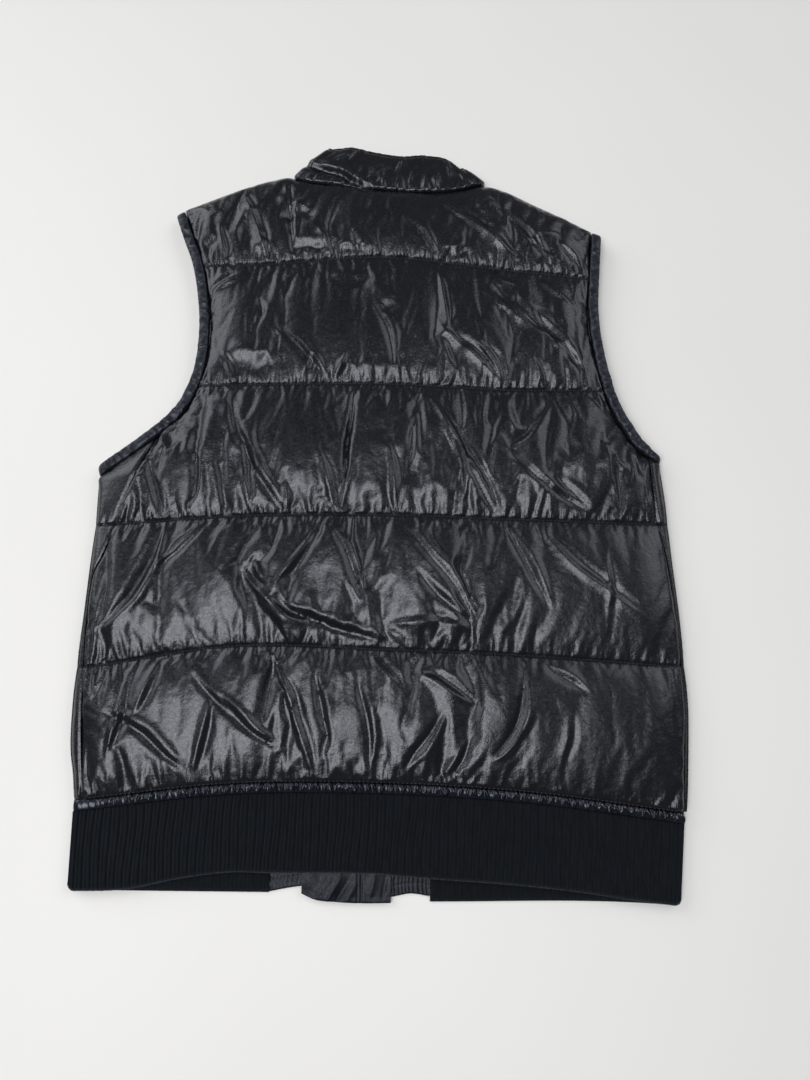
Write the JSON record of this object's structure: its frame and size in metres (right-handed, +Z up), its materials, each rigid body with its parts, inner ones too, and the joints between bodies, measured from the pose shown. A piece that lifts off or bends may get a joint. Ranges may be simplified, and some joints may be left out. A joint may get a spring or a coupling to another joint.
{
  "type": "quilted puffer vest, laid flat",
  "caption": "Sleeveless quilted puffer vest with stand collar, bound armholes and ribbed hem, laid flat on its front with the back up.",
  "frame": {"origin": "middle of the vest's outline, on the surface it lies on", "axes": "+Z up from the surface, out of the vest's back; +Y from hem to collar; +X to the wearer's right"},
  "size_m": [0.525, 0.7136, 0.0239],
  "materials": {
    "glossy_nylon": "glossy",
    "gathered_nylon": "semi-gloss",
    "rib_knit": "matte",
    "zip_plastic": "satin"
  },
  "bodies": {
    "root": {"back_panel": "glossy_nylon", "front_left": "glossy_nylon", "front_right": "glossy_nylon", "collar": "glossy_nylon", "binding_left": "gathered_nylon", "binding_right": "gathered_nylon", "hem_strip_back": "gathered_nylon", "hem_strip_left": "gathered_nylon", "hem_strip_right": "gathered_nylon", "rib_back": "rib_knit", "rib_left": "rib_knit", "rib_right": "rib_knit", "rib_end_left": "gathered_nylon", "rib_end_right": "gathered_nylon", "placket_flap": "gathered_nylon", "zip": "zip_plastic", "zip_slider": "zip_plastic"}
  },
  "joints": []
}
